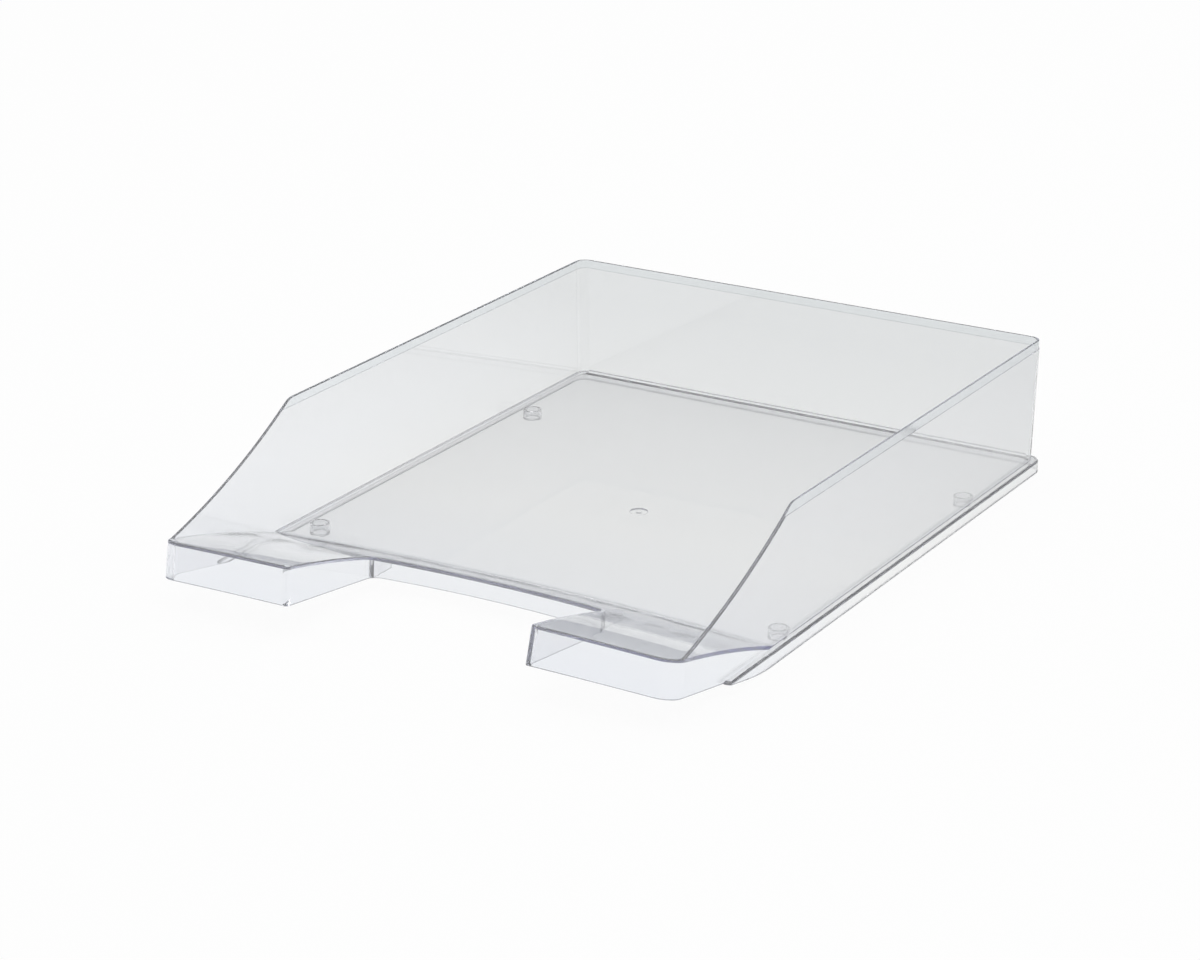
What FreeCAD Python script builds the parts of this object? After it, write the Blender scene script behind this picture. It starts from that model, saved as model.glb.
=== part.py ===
import FreeCAD, Part
import math
import os

# Overall size of the moulded tray
overall_width = 255.0
overall_depth = 348.0
overall_height = 65.0

# Sheet thicknesses of the moulding
floor_thickness = 1.6
wall_thickness = 1.6
skirt_thickness = 1.5

# Base skirt, and the ledge between it and the foot of the walls
ledge_height = 6.0
ledge_width = 2.9
skirt_corner_radius = 7.0
skirt_edge_round = 0.9
nose_tip_setback = 42.0
nose_plan_radius = 2.4

# Walls, with a shallow recess round the rim that the skirt of a tray above drops over
wall_corner_radius = 6.0
stack_clearance = 0.5
rim_height = 4.2
rim_recess = 0.4
rim_round = 0.4

# Sloping shoulder of the side walls, a hollow curve measured from the front of the tray
shoulder_setback = 97.0
shoulder_foot_setback = 10.0
shoulder_radius = 330.0
shoulder_break_radius = 9.0

# Front ramp: crowned along its length, with a crease that bows backwards at mid-width
crease_setback = 91.6
crease_radius = 15.0
crease_bow_radius = 1100.0
ramp_angle = 20.4
ramp_crown_radius = 590.0

# Leaning front face under the ramp
front_lean = 11.5
front_corner_radius = 8.0

# Lower edge of the front, which climbs away from the desk
front_lift_outer = 13.5
outer_lift_length = 68.0
lift_blend_radius = 120.0
lift_dip = 0.05
front_lift_inner = 14.4
apron_lift = 5.8

# Grip cut-out between the two ears, with a rear wall that bows backwards
grip_width = 114.4
grip_depth = 66.0
grip_bow_radius = 360.0
grip_draft = 3.5
grip_corner_radius = 5.0
ear_corner_radius = 1.8
lip_round = 0.6

# Stiffening ribs that carry the ear walls on behind the apron
rib_thickness = 1.3
rib_length = 13.0

# Tubular feet under the floor and the gate well at its middle
foot_diameter = 9.0
foot_wall = 1.2
foot_inset = 12.0
front_foot_setback = 104.0
back_foot_setback = 283.0
gate_diameter = 8.4
gate_depth = 0.7
gate_setback = 189.0
gate_stub_diameter = 2.6

# Run of a cutting block past the face it cuts, and the distance at which a point counts as on an edge
margin = 20.0
touch = 0.01

half_width = overall_width / 2
back_y = overall_depth / 2
front_y = -back_y
reach_y = front_y - margin
crease_y = front_y + crease_setback
apron_y = front_y + grip_depth
break_y = front_y + shoulder_setback
foot_y = front_y + shoulder_foot_setback
lean_run = math.tan(math.radians(front_lean))
grip_flare = math.tan(math.radians(grip_draft))
rim_inset = skirt_thickness + stack_clearance
wall_top_inset = rim_inset - rim_recess
floor_underside = ledge_height - floor_thickness
sheet_core = floor_thickness / 2
wall_core = wall_thickness / 2

# Upright axis that floor and ramp are turned about, and the centre of the ramp's crowned profile
bow_axis_y = crease_y - crease_bow_radius
crown_y = crease_y - ramp_crown_radius * math.sin(math.radians(ramp_angle))
crown_z = ledge_height - ramp_crown_radius * math.cos(math.radians(ramp_angle))


def vec(x, y, z):
    return FreeCAD.Vector(x, y, z)


def crown_height(y, radius):
    """Height of a circle about the crown's centre, over a place along mid-width."""
    return crown_z + math.sqrt(radius ** 2 - (y - crown_y) ** 2)


def ramp_top(x, y):
    return crown_height(bow_axis_y + math.hypot(x, y - bow_axis_y), ramp_crown_radius)


def front_face(z):
    return front_y + (z - front_lift_outer) * lean_run


def wall_inset(z):
    """Distance of the wall's outer face from the outside of the skirt."""
    return ledge_width + (wall_top_inset - ledge_width) * (z - ledge_height) / (overall_height - ledge_height)


def grip_spread(z):
    """Growth of the grip cut-out with height, from its size at the level of the ledge."""
    return (z - ledge_height) * grip_flare


def edges_near(shape, points):
    """Edges of the shape that pass through any of the points."""
    probes = [Part.Vertex(p) for p in points]
    return [e for e in shape.Edges if any(e.distToShape(v)[0] < touch for v in probes)]


def box(low, high):
    return Part.makeBox(high.x - low.x, high.y - low.y, high.z - low.z, low)


def drafted_block(low, high, front_radius, back_radius):
    """Four-sided block with flat leaning faces and rounded upright corners.

    Each end is given as its half width, front, back and height.
    """
    rings = []
    for half, front, back, z in (low, high):
        rings.append([vec(-half, front, z), vec(half, front, z), vec(half, back, z), vec(-half, back, z)])
    loops = [rings[0][::-1], rings[1]]
    for i in range(4):
        j = (i + 1) % 4
        loops.append([rings[0][i], rings[0][j], rings[1][j], rings[1][i]])
    faces = [Part.Face(Part.makePolygon(loop + loop[:1])) for loop in loops]
    block = Part.makeSolid(Part.makeShell(faces))
    middles = [(a + b) / 2 for a, b in zip(*rings)]
    block = block.makeFillet(front_radius, edges_near(block, middles[:2]))
    return block.makeFillet(back_radius, edges_near(block, middles[2:]))


def upright_block(half, front, back, low, high, front_radius, back_radius):
    return drafted_block((half, front, back, low), (half, front, back, high), front_radius, back_radius)


def tray_body(inset):
    """Block within the wall faces, moved inwards by the inset. Its front corners keep their radius."""
    ends = []
    for z in (-margin, overall_height + margin):
        edge = wall_inset(z) + inset
        front = front_face(z) + inset / math.cos(math.radians(front_lean))
        ends.append((half_width - edge, front, back_y - edge, z))
    return drafted_block(ends[0], ends[1], front_corner_radius, wall_corner_radius - inset)


def turned(edges):
    """Side profile at mid-width, swept sideways about the upright bow axis."""
    base = vec(0, bow_axis_y, 0)
    axis = vec(0, 0, 1)
    half_sweep = math.degrees(math.asin((half_width + margin) / (reach_y - bow_axis_y)))
    face = Part.Face(Part.Wire(edges))
    face.rotate(base, axis, -half_sweep)
    return face.revolve(base, axis, 2 * half_sweep)


def under_sheet(depth):
    """Everything lower than the floor and the ramp, at a depth below their upper face."""
    radius = ramp_crown_radius - depth
    blend = vec(0, 0, ledge_height + crease_radius)
    blend.y = crown_y + math.sqrt((ramp_crown_radius + crease_radius) ** 2 - (blend.z - crown_z) ** 2)
    down = vec(0, 0, -1)
    to_crown = (vec(0, crown_y, crown_z) - blend).normalize()
    halfway = (down + to_crown).normalize()
    floor_end, bend, ramp_end = [blend + way * (crease_radius + depth) for way in (down, halfway, to_crown)]
    middle_y = (ramp_end.y + reach_y) / 2
    ramp_middle = vec(0, middle_y, crown_height(middle_y, radius))
    front = vec(0, reach_y, crown_height(reach_y, radius))
    low_front = vec(0, reach_y, -margin)
    low_back = vec(0, back_y + margin, -margin)
    back = vec(0, back_y + margin, floor_end.z)
    return turned([Part.makeLine(back, floor_end), Part.Arc(floor_end, bend, ramp_end).toShape(),
                   Part.Arc(ramp_end, ramp_middle, front).toShape(), Part.makeLine(front, low_front),
                   Part.makeLine(low_front, low_back), Part.makeLine(low_back, back)])


def shoulder_block():
    """Everything below the level rim and the hollow slope that runs from it to the ramp."""
    x = -half_width - margin
    shoulder = vec(x, break_y, overall_height)
    chord = vec(x, foot_y, ramp_top(half_width - ledge_width, foot_y)) - shoulder
    rise = math.sqrt(shoulder_radius ** 2 - (chord.Length / 2) ** 2)
    centre = shoulder + chord / 2 + vec(0, chord.z, -chord.y).normalize() * rise
    foot, toe = [vec(x, y, centre.z - math.sqrt(shoulder_radius ** 2 - (y - centre.y) ** 2))
                 for y in (foot_y, reach_y)]
    back = vec(x, back_y + margin, overall_height)
    low_front = vec(x, reach_y, -margin)
    low_back = vec(x, back_y + margin, -margin)
    edges = [Part.makeLine(back, shoulder), Part.Arc(shoulder, foot, toe).toShape(),
             Part.makeLine(toe, low_front), Part.makeLine(low_front, low_back), Part.makeLine(low_back, back)]
    block = Part.Face(Part.Wire(edges)).extrude(vec(-2 * x, 0, 0))
    return block.makeFillet(shoulder_break_radius, edges_near(block, [vec(0, break_y, overall_height)]))


def front_undercut():
    """Block below the climbing lower edge, twisted from the grip out to the sides.

    The edge leaves the desk in an arc, which dips a touch below it so that the two cross cleanly.
    """
    inner_lift_length = front_lift_inner * grip_depth / (front_lift_inner - apron_lift)
    sections = []
    for x, lift, length in ((-half_width, front_lift_outer, outer_lift_length),
                            (-grip_width / 2, front_lift_inner, inner_lift_length),
                            (grip_width / 2, front_lift_inner, inner_lift_length),
                            (half_width, front_lift_outer, outer_lift_length)):
        climb = math.atan2(lift, length)
        run = lift_blend_radius * math.tan(climb / 2)
        centre = vec(x, front_y + length * (1 + lift_dip / lift) + run, lift_blend_radius - lift_dip)
        leave, turn, start = [centre + vec(0, -math.sin(a), -math.cos(a)) * lift_blend_radius
                              for a in (0, climb / 2, climb)]
        front = vec(x, reach_y, lift * (1 + margin / length))
        low_back = vec(x, leave.y, -margin)
        low_front = vec(x, reach_y, -margin)
        sections.append(Part.Wire([Part.makeLine(front, start), Part.Arc(start, turn, leave).toShape(),
                                   Part.makeLine(leave, low_back), Part.makeLine(low_back, low_front),
                                   Part.makeLine(low_front, front)]))
    return Part.makeLoft(sections, True, True)


def grip_block(grow):
    """Block of the grip cut-out, flaring upwards, grown outwards by a wall thickness."""
    ends = []
    radii = []
    for z in (-margin, overall_height):
        spread = grow + grip_spread(z)
        ends.append((grip_width / 2 + spread, reach_y, apron_y + margin, z))
        radii.append(grip_bow_radius + spread)
    block = drafted_block(ends[0], ends[1], ear_corner_radius, ear_corner_radius)
    axis_y = apron_y - grip_bow_radius
    block = block.common(Part.makeCone(radii[0], radii[1], overall_height + margin, vec(0, axis_y, -margin)))
    x = grip_width / 2 + grow
    y = axis_y + math.sqrt((grip_bow_radius + grow) ** 2 - x ** 2)
    corners = edges_near(block, [vec(x, y, ledge_height), vec(-x, y, ledge_height)])
    return block.makeFillet(grip_corner_radius + grow, corners)


def deck():
    """Floor, ramp and front as a sheet over a hollow, with the grip cut out and its edges eased."""
    block = tray_body(0).cut(grip_block(0))
    z = (front_lift_inner + ramp_top(0, front_y)) / 2
    x = grip_width / 2 + grip_spread(z)
    corners = edges_near(block, [vec(x, front_face(z), z), vec(-x, front_face(z), z)])
    block = block.makeFillet(ear_corner_radius, corners).common(under_sheet(0))
    lip_y = apron_y
    for _ in range(4):
        lip_y = apron_y + grip_spread(ramp_top(0, lip_y))
    block = block.makeFillet(lip_round, edges_near(block, [vec(0, lip_y, ramp_top(0, lip_y))]))
    hollow = under_sheet(floor_thickness).common(tray_body(wall_thickness)).cut(grip_block(wall_thickness))
    for plate in rib_plates():
        hollow = hollow.cut(plate)
    above_desk = box(vec(-half_width, reach_y, floor_underside), vec(half_width, back_y, overall_height))
    return block.cut(hollow).common(above_desk)


def walls():
    """Side and back walls, their top edges eased, which run on into the sides of the front."""
    start = vec(-half_width, (front_y + foot_y) / 2, floor_underside)
    behind_front = box(start, vec(half_width, back_y, overall_height))
    shell = tray_body(0).cut(tray_body(wall_thickness)).common(shoulder_block()).common(behind_front)
    for inset, radius in ((0, lip_round), (wall_thickness, rim_round)):
        edge = vec(0, back_y - wall_top_inset - inset, overall_height)
        shell = shell.makeFillet(radius, edges_near(shell, [edge]))
    return shell


def skirt_and_ledge():
    tip_y = front_y + nose_tip_setback
    block = upright_block(half_width, tip_y, back_y, 0, ledge_height, nose_plan_radius, skirt_corner_radius)
    top_edges = [e for e in block.Edges if e.BoundBox.ZMin > ledge_height - touch]
    block = block.makeFillet(skirt_edge_round, top_edges)
    open_y = tip_y - margin
    hollow = upright_block(half_width - skirt_thickness, open_y, back_y - skirt_thickness, -margin,
                           floor_underside, nose_plan_radius, skirt_corner_radius - skirt_thickness)
    seat = ledge_width + wall_core
    bay = upright_block(half_width - seat, open_y, back_y - seat, -margin, ledge_height + margin,
                        nose_plan_radius, wall_corner_radius)
    return block.cut(hollow).cut(bay)


def rib_plates():
    start_x = grip_width / 2
    corner_y = apron_y - grip_bow_radius + math.sqrt(grip_bow_radius ** 2 - start_x ** 2)
    start_y = corner_y - grip_corner_radius
    end_y = corner_y + wall_thickness + rib_length
    return [box(vec(x, start_y, apron_lift), vec(x + rib_thickness, end_y, overall_height))
            for x in (start_x, -start_x - rib_thickness)]


def feet():
    tubes = []
    for side in (-1, 1):
        for setback in (front_foot_setback, back_foot_setback):
            base = vec(side * (half_width - foot_inset), front_y + setback, 0)
            tube = Part.makeCylinder(foot_diameter / 2, floor_underside + sheet_core, base)
            bore = Part.makeCylinder(foot_diameter / 2 - foot_wall, floor_underside, base)
            tubes.append(tube.cut(bore))
    return tubes


def gate_well():
    """Shallow ring sunk in the underside round the stub where the plastic entered."""
    centre = vec(0, front_y + gate_setback, floor_underside)
    well = Part.makeCylinder(gate_diameter / 2, gate_depth, centre)
    return well.cut(Part.makeCylinder(gate_stub_diameter / 2, gate_depth, centre))


def rim_recess_ring():
    low = overall_height - rim_height
    high = overall_height + margin
    around = box(vec(-half_width, reach_y, low), vec(half_width, back_y, high))
    return around.cut(upright_block(half_width - rim_inset, reach_y - margin, back_y - rim_inset, low, high,
                                    front_corner_radius, wall_corner_radius - rim_recess))


undercut = front_undercut()
tray = deck().cut(undercut)
for piece in (walls(), skirt_and_ledge()):
    tray = tray.fuse(piece.cut(undercut))
tray = tray.fuse(feet()).cut(gate_well()).cut(rim_recess_ring())

os.makedirs("parts", exist_ok=True)
tray.exportStep("parts/letter_tray.step")
print("letter_tray", len(tray.Solids), "solid, valid", tray.isValid(), tray.optimalBoundingBox())
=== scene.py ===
import math

import bpy
from mathutils import Matrix, Vector


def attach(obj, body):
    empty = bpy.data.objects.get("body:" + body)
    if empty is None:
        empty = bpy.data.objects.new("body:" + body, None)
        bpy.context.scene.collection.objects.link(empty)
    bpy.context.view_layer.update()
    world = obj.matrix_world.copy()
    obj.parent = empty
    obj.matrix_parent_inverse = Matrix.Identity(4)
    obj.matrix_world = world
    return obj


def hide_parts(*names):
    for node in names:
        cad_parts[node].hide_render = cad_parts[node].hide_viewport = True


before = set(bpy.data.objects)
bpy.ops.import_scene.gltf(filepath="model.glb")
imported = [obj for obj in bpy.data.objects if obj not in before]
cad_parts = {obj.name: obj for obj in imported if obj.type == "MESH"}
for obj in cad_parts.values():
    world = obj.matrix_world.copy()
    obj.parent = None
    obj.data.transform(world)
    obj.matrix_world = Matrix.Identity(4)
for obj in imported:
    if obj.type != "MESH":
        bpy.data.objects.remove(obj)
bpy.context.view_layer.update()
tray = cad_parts["letter_tray"]

# Lengths are in metres. A real size is written in millimetres, times this.
MM = 0.001

# The photograph's camera: angles in degrees, and the focal length in picture widths.
VIEW_AZIMUTH = 30.94
VIEW_ELEVATION = 20.49
VIEW_DISTANCE = 1.475
VIEW_OFFSET = (-0.0098, 0.0240)
FOCAL_WIDTHS = 2.745
SENSOR_MM = 36.0

# Light that runs along inside the clear sheets and out at their edges turns often.
LIGHT_TURNS = 64

# Radius of the cove at the foot of the back wall and in the front corner of each ear.
BACK_COVE = 2.4 * MM
EAR_COVE = 1.8 * MM
COVE_STEPS = 4

# What tells the edges that have a cove from the others. The ears' front corners lie ahead of EAR_BACK.
# SQUARE and UPRIGHT are parts of a face's normal along an axis. A sharp edge turns by over SHARP_ANGLE.
EAR_BACK = -150.0 * MM
SQUARE = 0.99
UPRIGHT = 0.35
SHARP_ANGLE = math.radians(35)

# The solid's faces each have corners of their own. These are paired on a grid of a hundredth of a
# millimetre and welded, and broad faces then lead the shading of the narrow ones beside them.
GRID_STEPS_PER_METRE = 1e5
WELD_GAP = 0.002 * MM
BROAD_FACE_WEIGHT = 100

# Surface marks of the polystyrene. Real scuffs are finer, and are drawn this wide so that they show.
# A scuff fades in between the last two values, which are levels of its noise.
RIPPLE_LENGTH = 45.0 * MM
RIPPLE_HEIGHT = 0.012 * MM
SCUFF_LENGTH = 9.0 * MM
SCUFF_WIDTH = 0.6 * MM
SCUFF_STARTS = 0.55
SCUFF_FULL = 0.80

# Roughness of the polystyrene as moulded, in a scuff, on the rim and on the foot.
POLISHED = 0.008
SCUFFED = 0.05
SATIN_RIM = 0.05
RUBBED_FOOT = 0.45

# Heights on the tray at which its finish changes. Above RIM_FOOT the rim also gets a painted shade.
RIM_FOOT = 60.8 * MM
WORN_HEIGHT = 0.8 * MM

# The polystyrene's IOR, the share of light that it doesn't scatter, and its absorption per metre.
POLYSTYRENE_IOR = 1.59
CLEAR_SHARE = 0.92
ABSORPTION = 4.5

# The ground paper, just under the tray's foot, and the share of plain white that the eye sees in it.
GROUND_SIZE = 12.0
GROUND_DROP = 0.2 * MM
FIBRE_CLOUD = 8.0 * MM
FIBRE_RELIEF = 0.1 * MM
FIBRE_STRENGTH = 0.1
PAPER_ROUGHNESS = 0.8
PLAIN_WHITE = 0.94

# Reach of the tray's painted shadow on the ground, and of the painted light beside it.
SHADE_SIDE = 125.0 * MM
LIT_SIDE = 190.0 * MM
SHADE_BACK = 300.0 * MM
LIT_BACK = -180.0 * MM

# Painted shadow tones of the ground, from the back of the shade to its front. Studio tones, foot to
# overhead.
PAINTED_SHADE_TONES = ((0.0, "#EBEDEC"), (0.62, "#FAFBF9"), (1.0, "#F2F5FA"))
STUDIO_TONES = (
    (0.0, "#666B78"), (0.12, "#8A8F99"), (0.30, "#AAACAE"), (0.50, "#B6B8B8"), (0.85, "#FAFAFA"))

SOFTBOX_PLACE = (0.3, 0.4, 2.0)
SOFTBOX_SIZE = (2.0, 2.0)
SOFTBOX_WATTS = 12.0

# Sockets of the Mix node, whose names repeat for each kind of value that it mixes.
SHARE = 0
NUMBER_A, NUMBER_B = 2, 3
COLOUR_A, COLOUR_B = 6, 7
MIXED_COLOUR = 2


def linear(hex_colour):
    """sRGB hex to the linear colour that Blender's sockets take."""
    channels = [int(hex_colour[i:i + 2], 16) / 255 for i in (1, 3, 5)]
    return [c / 12.92 if c <= 0.04045 else ((c + 0.055) / 1.055) ** 2.4 for c in channels] + [1.0]


def add(tree, kind, settings=None, links=None):
    """One node with its settings. Each input, by name or number, gets a value or a link from an output."""
    node = tree.nodes.new(kind)
    for name, value in (settings or {}).items():
        setattr(node, name, value)
    for name, value in (links or {}).items():
        if isinstance(value, bpy.types.NodeSocket):
            tree.links.new(value, node.inputs[name])
        else:
            node.inputs[name].default_value = value
    return node


def set_ramp(node, stops):
    """Colour stops of a ramp node: a position and a hex colour each."""
    elements = node.color_ramp.elements
    while len(elements) < len(stops):
        elements.new(1.0)
    for element, (position, colour) in zip(elements, stops):
        element.position = position
        element.color = linear(colour)


def new_material(name):
    material = bpy.data.materials.new(name)
    material.use_nodes = True
    material.node_tree.nodes.clear()
    return material, material.node_tree


# Clear polystyrene, injected into a polished mould: water-clear, and mirror-bright where the eye meets it
# at a low angle. The plastic's faint violet shows only along the edges, where the eye looks through a long
# way of it, and a trace of haze keeps those edges from going black. The flow of the melt leaves a long soft
# ripple in the sheets, and paper leaves hairline scuffs. The stacking rim is less glossy, and its greyer
# tint is painted shade along the top of the walls. Desks have rubbed the foot dull.
def clear_polystyrene():
    material, tree = new_material("clear_moulded_polystyrene")
    place = add(tree, "ShaderNodeTexCoord").outputs["Object"]
    height = add(tree, "ShaderNodeSeparateXYZ", links={0: place}).outputs["Z"]
    rim = add(tree, "ShaderNodeMath", {"operation": "GREATER_THAN"}, {0: height, 1: RIM_FOOT}).outputs[0]
    foot = add(tree, "ShaderNodeMath", {"operation": "LESS_THAN"}, {0: height, 1: WORN_HEIGHT}).outputs[0]
    ripple = add(tree, "ShaderNodeTexNoise", links={
        "Vector": place, "Scale": 1 / RIPPLE_LENGTH, "Detail": 1.0})
    bump = add(tree, "ShaderNodeBump", links={"Height": ripple.outputs[0], "Distance": RIPPLE_HEIGHT})
    along = add(tree, "ShaderNodeMapping", links={
        "Vector": place, "Scale": (1 / SCUFF_WIDTH, 1 / SCUFF_LENGTH, 1 / SCUFF_WIDTH)})
    scuffs = add(tree, "ShaderNodeTexNoise", links={
        "Vector": along.outputs[0], "Scale": 1.0, "Detail": 2.0})
    polish = add(tree, "ShaderNodeMapRange", links={
        "Value": scuffs.outputs[0], "From Min": SCUFF_STARTS, "From Max": SCUFF_FULL,
        "To Min": POLISHED, "To Max": SCUFFED})
    satin = add(tree, "ShaderNodeMix", links={
        SHARE: rim, NUMBER_A: polish.outputs[0], NUMBER_B: SATIN_RIM})
    dull = add(tree, "ShaderNodeMix", links={
        SHARE: foot, NUMBER_A: satin.outputs[0], NUMBER_B: RUBBED_FOOT})
    # Painted shade: the rim's base colour is tinted greyer than the rest of the clear plastic.
    painted_rim_shade = add(tree, "ShaderNodeMix", {"data_type": "RGBA"}, {
        SHARE: rim, COLOUR_A: linear("#FEFEFF"), COLOUR_B: linear("#F8FAFC")})
    plastic = add(tree, "ShaderNodeBsdfPrincipled", links={
        "Base Color": painted_rim_shade.outputs[MIXED_COLOUR], "Roughness": dull.outputs[0], "IOR": POLYSTYRENE_IOR,
        "Transmission Weight": CLEAR_SHARE, "Normal": bump.outputs[0]})
    body = add(tree, "ShaderNodeVolumeAbsorption", links={"Color": linear("#888DD8"), "Density": ABSORPTION})
    add(tree, "ShaderNodeOutputMaterial", links={"Surface": plastic.outputs[0], "Volume": body.outputs[0]})
    return material


# Matt white paper, pressed from fibre, whose clouds give it a faint soft unevenness. The eye sees it as
# nearly plain white, with enough of the paper left for the tray's shadow. In the clear plastic it shows a
# painted shadow: tones painted darker under and behind the tray, and lighter on both sides of it.
def white_ground_and_painted_shadow():
    material, tree = new_material("white_paper_and_painted_shadow")
    fibre = add(tree, "ShaderNodeTexNoise", links={"Scale": GROUND_SIZE / FIBRE_CLOUD, "Detail": 2.0})
    grain = add(tree, "ShaderNodeBump", links={
        "Height": fibre.outputs[0], "Strength": FIBRE_STRENGTH, "Distance": FIBRE_RELIEF})
    paper = add(tree, "ShaderNodeBsdfPrincipled", links={
        "Base Color": linear("#F0F0EF"), "Roughness": PAPER_ROUGHNESS, "Normal": grain.outputs[0]})
    path = add(tree, "ShaderNodeLightPath")
    camera = add(tree, "ShaderNodeMath", {"operation": "MULTIPLY"}, {
        0: path.outputs["Is Camera Ray"], 1: PLAIN_WHITE})
    mirrored = add(tree, "ShaderNodeMath", {"operation": "MAXIMUM"}, {
        0: path.outputs["Is Transmission Ray"], 1: path.outputs["Is Glossy Ray"]})
    share = add(tree, "ShaderNodeMath", {"operation": "MAXIMUM"}, {
        0: camera.outputs[0], 1: mirrored.outputs[0]})
    # Painted shadow: seen in the plastic, the ground is darker under and behind the tray, lighter beside it.
    place = add(tree, "ShaderNodeTexCoord").outputs["Object"]
    across = add(tree, "ShaderNodeSeparateXYZ", links={0: place})
    aside = add(tree, "ShaderNodeMath", {"operation": "ABSOLUTE"}, {0: across.outputs["X"]})
    beside = add(tree, "ShaderNodeMapRange", links={
        "Value": aside.outputs[0], "From Min": SHADE_SIDE, "From Max": LIT_SIDE})
    ahead = add(tree, "ShaderNodeMapRange", links={
        "Value": across.outputs["Y"], "From Min": SHADE_BACK, "From Max": LIT_BACK})
    lit = add(tree, "ShaderNodeMath", {"operation": "MULTIPLY"}, {
        0: beside.outputs[0], 1: ahead.outputs[0]})
    under = add(tree, "ShaderNodeValToRGB", links={0: ahead.outputs[0]})
    set_ramp(under, PAINTED_SHADE_TONES)
    painted_shadow_sweep = add(tree, "ShaderNodeMix", {"data_type": "RGBA"}, {
        SHARE: lit.outputs[0], COLOUR_A: under.outputs[0], COLOUR_B: linear("#FBFDFF")})
    tone = add(tree, "ShaderNodeMix", {"data_type": "RGBA"}, {
        SHARE: path.outputs["Is Camera Ray"], COLOUR_A: painted_shadow_sweep.outputs[MIXED_COLOUR],
        COLOUR_B: linear("#FFFFFF")})
    # Plain white to the eye; to the plastic, the painted shadow and light tones.
    white = add(tree, "ShaderNodeEmission", links={"Color": tone.outputs[MIXED_COLOUR], "Strength": 1.0})
    mix = add(tree, "ShaderNodeMixShader", links={
        0: share.outputs[0], 1: paper.outputs[0], 2: white.outputs[0]})
    add(tree, "ShaderNodeOutputMaterial", links={"Surface": mix.outputs[0]})
    return material


def studio_world():
    """A pale studio, white overhead. Its darker foot draws the outlines of the clear plastic."""
    world = bpy.data.worlds.new("pale_studio")
    world.use_nodes = True
    tree = world.node_tree
    tree.nodes.clear()
    direction = add(tree, "ShaderNodeTexCoord").outputs["Generated"]
    height = add(tree, "ShaderNodeSeparateXYZ", links={0: direction}).outputs["Z"]
    walls = add(tree, "ShaderNodeValToRGB", links={0: height})
    set_ramp(walls, STUDIO_TONES)
    back = add(tree, "ShaderNodeBackground", links={"Color": walls.outputs[0], "Strength": 1.0})
    add(tree, "ShaderNodeOutputWorld", links={"Surface": back.outputs[0]})
    bpy.context.scene.world = world


def soft_lamp(name, place, size, watts):
    """An area lamp that faces the tray."""
    data = bpy.data.lights.new(name, "AREA")
    data.shape = "RECTANGLE"
    data.size, data.size_y = size
    data.energy = watts
    lamp = bpy.data.objects.new(name, data)
    lamp.location = place
    lamp.rotation_euler = (-Vector(place)).to_track_quat("-Z", "Y").to_euler()
    bpy.context.scene.collection.objects.link(lamp)


def edge_place(mesh, ends):
    """The places of an edge's two ends, alike for all the faces that meet there."""
    return frozenset(tuple(round(c * GRID_STEPS_PER_METRE) for c in mesh.vertices[i].co) for i in ends)


def cove_share(faces, point):
    """Share of the back wall's cove radius that the mould gives the hollow between two faces, if any."""
    side, top = sorted(faces, key=lambda face: face.normal.z)
    if side.normal.dot(top.center - point) <= 0:
        return 0.0
    if top.normal.z > SQUARE and side.normal.y < -SQUARE:
        return 1.0
    sharp = side.normal.angle(top.normal) > SHARP_ANGLE
    upright = max(top.normal.z, -side.normal.z) < UPRIGHT
    return EAR_COVE / BACK_COVE if sharp and upright and point.y < EAR_BACK else 0.0


def mark_coves(mesh):
    """Weighs the edges that the mould rounds."""
    faces_at = {}
    for face in mesh.polygons:
        for ends in face.edge_keys:
            faces_at.setdefault(edge_place(mesh, ends), []).append(face)
    weight = mesh.attributes.new("bevel_weight_edge", "FLOAT", "EDGE")
    for edge in mesh.edges:
        faces = faces_at[edge_place(mesh, edge.vertices)]
        if len(faces) == 2:
            weight.data[edge.index].value = cove_share(faces, mesh.vertices[edge.vertices[0]].co)


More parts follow.
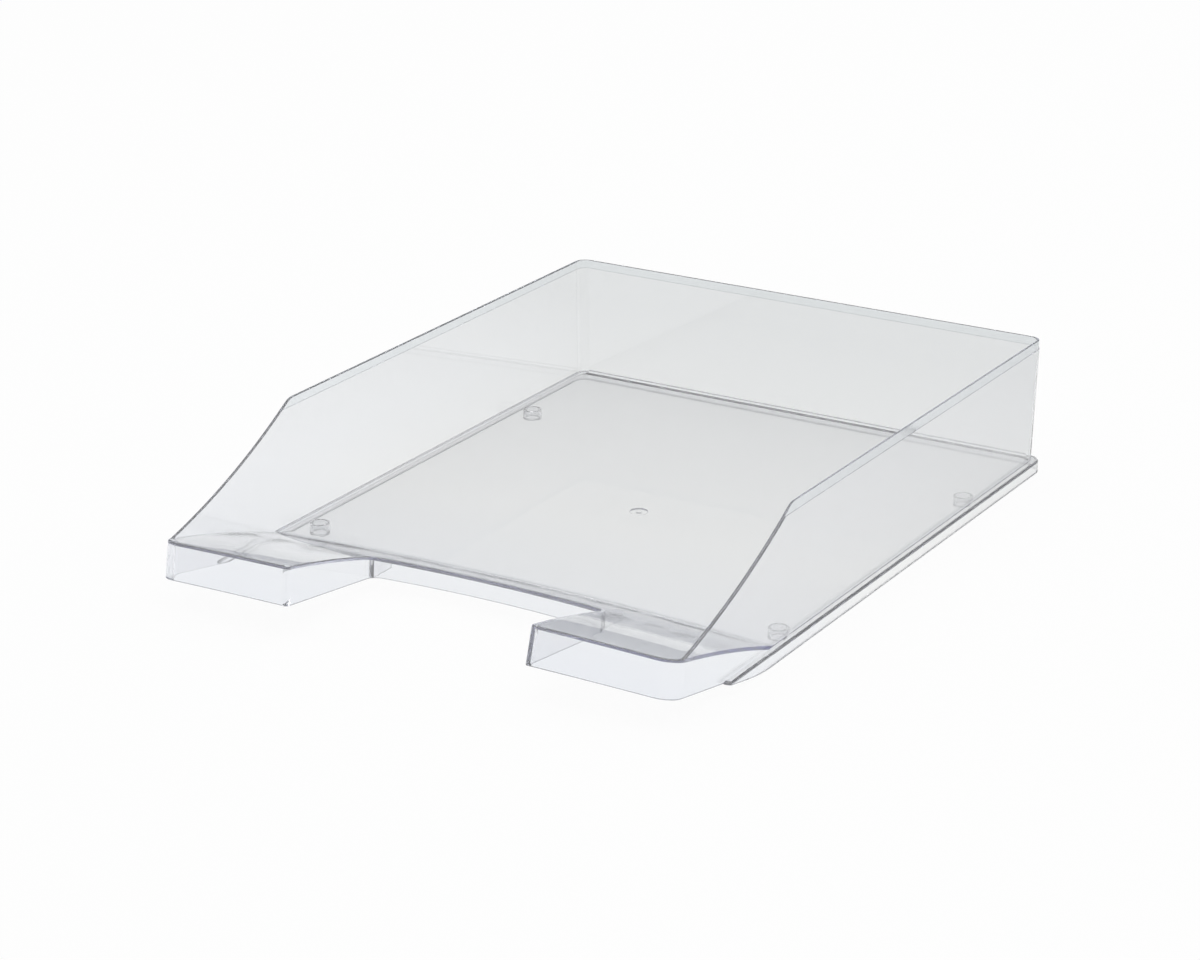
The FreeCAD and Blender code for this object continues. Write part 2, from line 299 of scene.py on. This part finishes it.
def moulded_tray():
    """The tray as it leaves the mould, in the node's place: the solid's mesh with coves and even shading."""
    mesh = tray.data.copy()
    mesh.materials.clear()
    mesh.materials.append(clear_polystyrene())
    mesh.polygons.foreach_set("use_smooth", [True] * len(mesh.polygons))
    mark_coves(mesh)
    moulding = bpy.data.objects.new("moulded_tray", mesh)
    bpy.context.scene.collection.objects.link(moulding)
    moulding.modifiers.new("joined_faces", "WELD").merge_threshold = WELD_GAP
    coves = moulding.modifiers.new("inner_coves", "BEVEL")
    coves.limit_method = "WEIGHT"
    coves.width = BACK_COVE
    coves.segments = COVE_STEPS
    coves.use_clamp_overlap = False
    moulding.modifiers.new("sharp_corners", "EDGE_SPLIT").split_angle = SHARP_ANGLE
    moulding.modifiers.new("even_shading", "WEIGHTED_NORMAL").weight = BROAD_FACE_WEIGHT
    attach(moulding, "root")
    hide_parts("letter_tray")


def make_ground():
    bpy.ops.mesh.primitive_plane_add(size=GROUND_SIZE, location=(0, 0, -GROUND_DROP))
    ground = bpy.context.object
    ground.name = "ground"
    ground.data.materials.append(white_ground_and_painted_shadow())


def make_camera():
    azimuth = math.radians(VIEW_AZIMUTH)
    elevation = math.radians(VIEW_ELEVATION)
    right = Vector((math.cos(azimuth), math.sin(azimuth), 0))
    back = Vector((math.sin(azimuth) * math.cos(elevation), -math.cos(azimuth) * math.cos(elevation),
                   math.sin(elevation)))
    up = back.cross(right)
    data = bpy.data.cameras.new("camera")
    data.sensor_width = SENSOR_MM
    data.lens = FOCAL_WIDTHS * SENSOR_MM
    camera = bpy.data.objects.new("camera", data)
    place = right * VIEW_OFFSET[0] + up * VIEW_OFFSET[1] + back * VIEW_DISTANCE
    camera.matrix_world = Matrix.Translation(place) @ Matrix((right, up, back)).transposed().to_4x4()
    bpy.context.scene.collection.objects.link(camera)
    bpy.context.scene.camera = camera


bpy.context.scene.view_settings.view_transform = "Standard"
for turns in ("max_bounces", "glossy_bounces", "transmission_bounces"):
    setattr(bpy.context.scene.cycles, turns, LIGHT_TURNS)
moulded_tray()
make_ground()
studio_world()
soft_lamp("top_softbox", SOFTBOX_PLACE, SOFTBOX_SIZE, SOFTBOX_WATTS)
make_camera()
